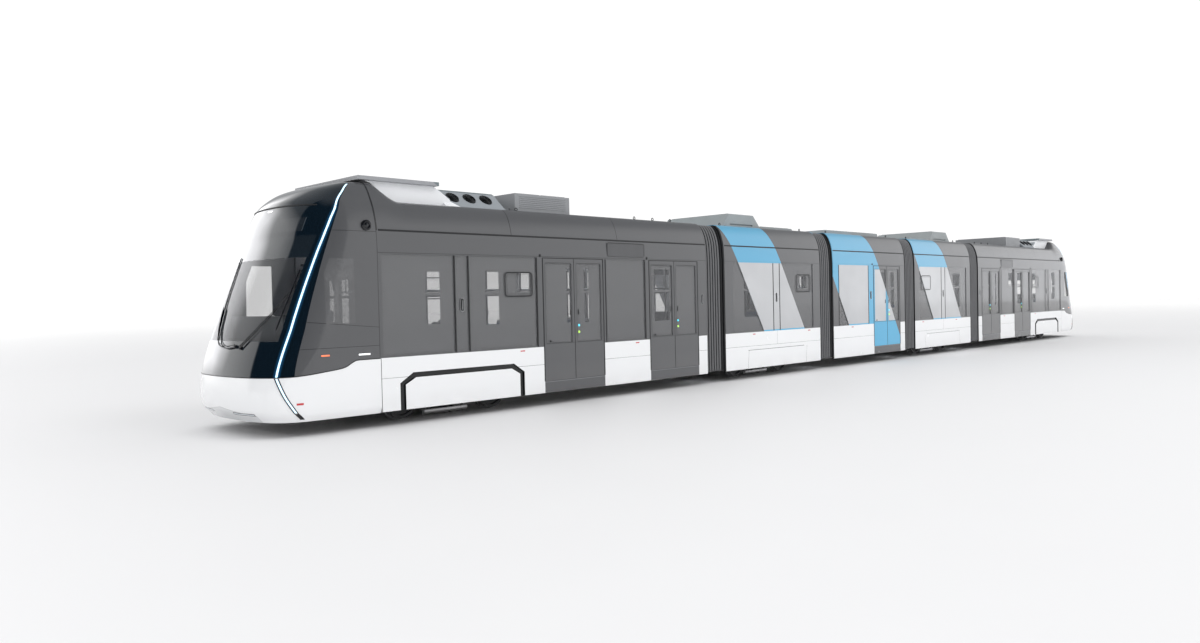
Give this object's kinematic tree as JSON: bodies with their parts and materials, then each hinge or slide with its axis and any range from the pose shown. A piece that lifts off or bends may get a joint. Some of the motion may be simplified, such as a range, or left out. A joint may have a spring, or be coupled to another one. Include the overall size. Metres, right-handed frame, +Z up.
{
  "type": "five-section low-floor tram",
  "caption": "Articulated low-floor tram: a cab at each end, hinged body sections with folded gangway hoods, flush glass, roof units and bogies with turning wheelsets.",
  "frame": {"origin": "centre of the whole tram's box at the level of the lowest point of the wheel flanges", "axes": "+X to the front cab along the tram, +Y to the left, +Z up"},
  "size_m": [33.7954, 2.68, 3.8],
  "materials": {
    "white_skirt": "gloss",
    "grey_body": "satin",
    "dark_glass": "polished, tinted",
    "door_grey": "satin",
    "bellows_rubber": "matt",
    "roof_grey": "matt",
    "bogie_steel": "semi-matt",
    "wheel_steel": "rolled"
  },
  "bodies": {
    "section_a": {"underframe_a": "white_skirt", "shell_a": "grey_body", "cab_shell_front": "grey_body", "windscreen_front": "dark_glass", "bumper_front": "white_skirt", "roof_equipment_front": "roof_grey", "glazing_a1_left": "dark_glass", "glazing_a1_right": "dark_glass", "glazing_a2_left": "dark_glass", "glazing_a2_right": "dark_glass", "doors_a_left": "door_grey", "doors_a_right": "door_grey"},
    "section_b": {"underframe_b": "white_skirt", "shell_b": "grey_body", "roof_box_b": "roof_grey", "glazing_b1_left": "dark_glass", "glazing_b1_right": "dark_glass", "bogie_frame_2": "bogie_steel", "bellows_ab": "bellows_rubber"},
    "section_c": {"underframe_c": "white_skirt", "shell_c": "grey_body", "roof_cover_c": "roof_grey", "glazing_c1_left": "dark_glass", "glazing_c1_right": "dark_glass", "doors_c_left": "door_grey", "doors_c_right": "door_grey", "bellows_bc": "bellows_rubber", "bellows_cd": "bellows_rubber"},
    "section_d": {"underframe_d": "white_skirt", "shell_d": "grey_body", "roof_box_d": "roof_grey", "glazing_d1_left": "dark_glass", "glazing_d1_right": "dark_glass", "bogie_frame_3": "bogie_steel", "bellows_de": "bellows_rubber"},
    "section_e": {"underframe_e": "white_skirt", "shell_e": "grey_body", "cab_shell_rear": "grey_body", "windscreen_rear": "dark_glass", "bumper_rear": "white_skirt", "roof_equipment_rear": "roof_grey", "glazing_e1_left": "dark_glass", "glazing_e1_right": "dark_glass", "glazing_e2_left": "dark_glass", "glazing_e2_right": "dark_glass", "doors_e_left": "door_grey", "doors_e_right": "door_grey"},
    "bogie_front": {"bogie_frame_1": "bogie_steel"},
    "bogie_rear": {"bogie_frame_4": "bogie_steel"},
    "axle_1": {"wheelset_1": "wheel_steel"},
    "axle_2": {"wheelset_2": "wheel_steel"},
    "axle_3": {"wheelset_3": "wheel_steel"},
    "axle_4": {"wheelset_4": "wheel_steel"},
    "axle_5": {"wheelset_5": "wheel_steel"},
    "axle_6": {"wheelset_6": "wheel_steel"},
    "axle_7": {"wheelset_7": "wheel_steel"},
    "axle_8": {"wheelset_8": "wheel_steel"}
  },
  "joints": [
    {"name": "articulation_bc", "type": "hinge", "parent": "section_c", "child": "section_b", "pos_m": [2.265, 0, 0.32], "axis": [0, 0, 1], "range_deg": [-25, 25], "deforming": ["bellows_bc"]},
    {"name": "articulation_ab", "type": "hinge", "parent": "section_b", "child": "section_a", "pos_m": [6.785, 0, 0.32], "axis": [0, 0, 1], "range_deg": [-25, 25], "deforming": ["bellows_ab"]},
    {"name": "articulation_cd", "type": "hinge", "parent": "section_c", "child": "section_d", "pos_m": [-2.265, 0, 0.32], "axis": [0, 0, 1], "range_deg": [-25, 25], "deforming": ["bellows_cd"]},
    {"name": "articulation_de", "type": "hinge", "parent": "section_d", "child": "section_e", "pos_m": [-6.785, 0, 0.32], "axis": [0, 0, 1], "range_deg": [-25, 25], "deforming": ["bellows_de"]},
    {"name": "bogie_front_pivot", "type": "hinge", "parent": "section_a", "child": "bogie_front", "pos_m": [13.43, 0, 0.45], "axis": [0, 0, 1], "range_deg": [-5, 5]},
    {"name": "bogie_rear_pivot", "type": "hinge", "parent": "section_e", "child": "bogie_rear", "pos_m": [-13.43, 0, 0.45], "axis": [0, 0, 1], "range_deg": [-5, 5]},
    {"name": "axle_1_roll", "type": "hinge", "parent": "bogie_front", "child": "axle_1", "pos_m": [14.33, 0, 0.32366], "axis": [0, 1, 0], "continuous": true},
    {"name": "axle_2_roll", "type": "hinge", "parent": "bogie_front", "child": "axle_2", "pos_m": [12.53, 0, 0.32366], "axis": [0, 1, 0], "continuous": true},
    {"name": "axle_3_roll", "type": "hinge", "parent": "section_b", "child": "axle_3", "pos_m": [5.42, 0, 0.32366], "axis": [0, 1, 0], "continuous": true},
    {"name": "axle_4_roll", "type": "hinge", "parent": "section_b", "child": "axle_4", "pos_m": [3.62, 0, 0.32366], "axis": [0, 1, 0], "continuous": true},
    {"name": "axle_5_roll", "type": "hinge", "parent": "section_d", "child": "axle_5", "pos_m": [-3.62, 0, 0.32366], "axis": [0, 1, 0], "continuous": true},
    {"name": "axle_6_roll", "type": "hinge", "parent": "section_d", "child": "axle_6", "pos_m": [-5.42, 0, 0.32366], "axis": [0, 1, 0], "continuous": true},
    {"name": "axle_7_roll", "type": "hinge", "parent": "bogie_rear", "child": "axle_7", "pos_m": [-12.53, 0, 0.32366], "axis": [0, 1, 0], "continuous": true},
    {"name": "axle_8_roll", "type": "hinge", "parent": "bogie_rear", "child": "axle_8", "pos_m": [-14.33, 0, 0.32366], "axis": [0, 1, 0], "continuous": true}
  ]
}
